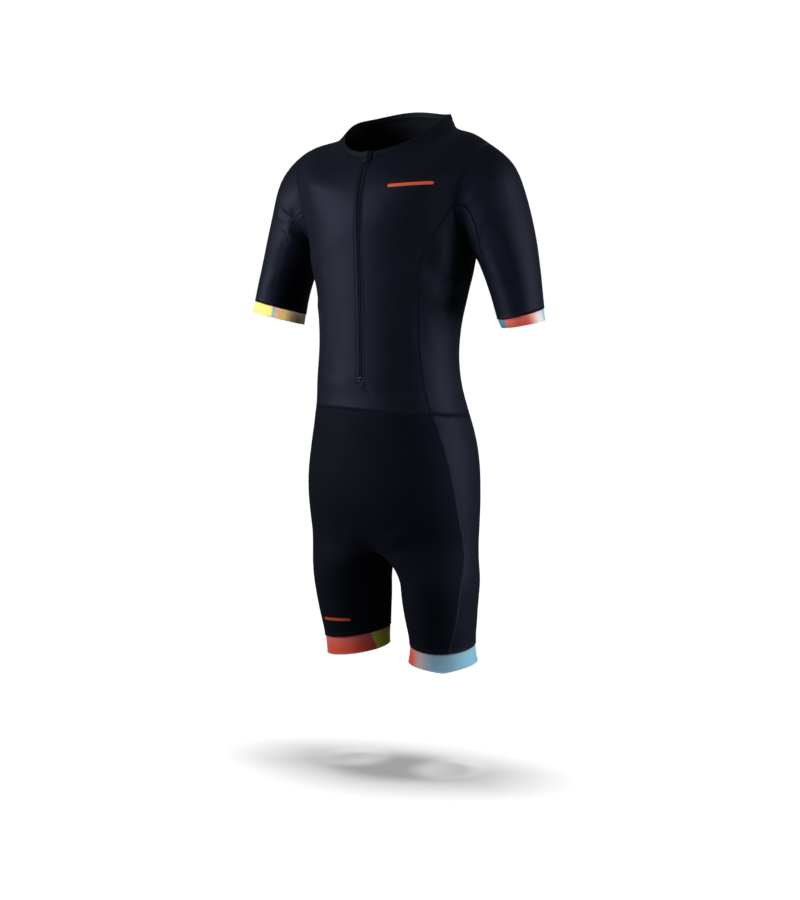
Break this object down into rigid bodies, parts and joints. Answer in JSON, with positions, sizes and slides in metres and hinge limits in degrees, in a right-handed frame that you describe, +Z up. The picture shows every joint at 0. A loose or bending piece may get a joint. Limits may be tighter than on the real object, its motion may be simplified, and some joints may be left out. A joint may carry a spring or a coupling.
{
  "type": "triathlon suit",
  "caption": "Short-sleeved one-piece triathlon suit with a front zip, side panels and coloured elastic bands at cuffs and legs, held in its worn shape with an open neck, cuffs and hems.",
  "frame": {"origin": "the middle of the neck opening, at the height of the neck points of the shoulders, where the wearer's shoulders hold the suit", "axes": "+Z up the wearer's body; -Y the way the front with its zip faces; +X the garment's own left side"},
  "size_m": [0.5271, 0.2304, 0.9152],
  "materials": {
    "shiny_black": "soft satin sheen, navy-black stretch cloth",
    "matte_black": "matte, near-black woven stretch cloth",
    "trim_black": "semi-matte folded elastic and tape",
    "coil_black": "semi-gloss moulded zip coil",
    "metal_black": "black enamel",
    "cuff_orange": "matte printed elastic",
    "hem_blue": "matte printed elastic"
  },
  "bodies": {
    "root": {"bodice_back": "shiny_black", "bodice_front": "shiny_black", "bodice_side_left": "shiny_black", "bodice_side_right": "shiny_black", "cuff_band_left": "cuff_orange", "cuff_band_right": "cuff_orange", "leg_band_left": "hem_blue", "leg_band_right": "hem_blue", "neck_binding": "trim_black", "shorts_back_left": "matte_black", "shorts_back_right": "matte_black", "shorts_front": "matte_black", "shorts_side_left": "shiny_black", "shorts_side_right": "shiny_black", "sleeve_left": "shiny_black", "sleeve_right": "shiny_black", "sleeve_under_left": "shiny_black", "sleeve_under_right": "shiny_black", "zip_chain": "coil_black", "zip_garage": "trim_black", "zip_slider": "metal_black", "zip_stop": "metal_black", "zip_tape_left": "trim_black", "zip_tape_right": "trim_black"}
  },
  "joints": []
}
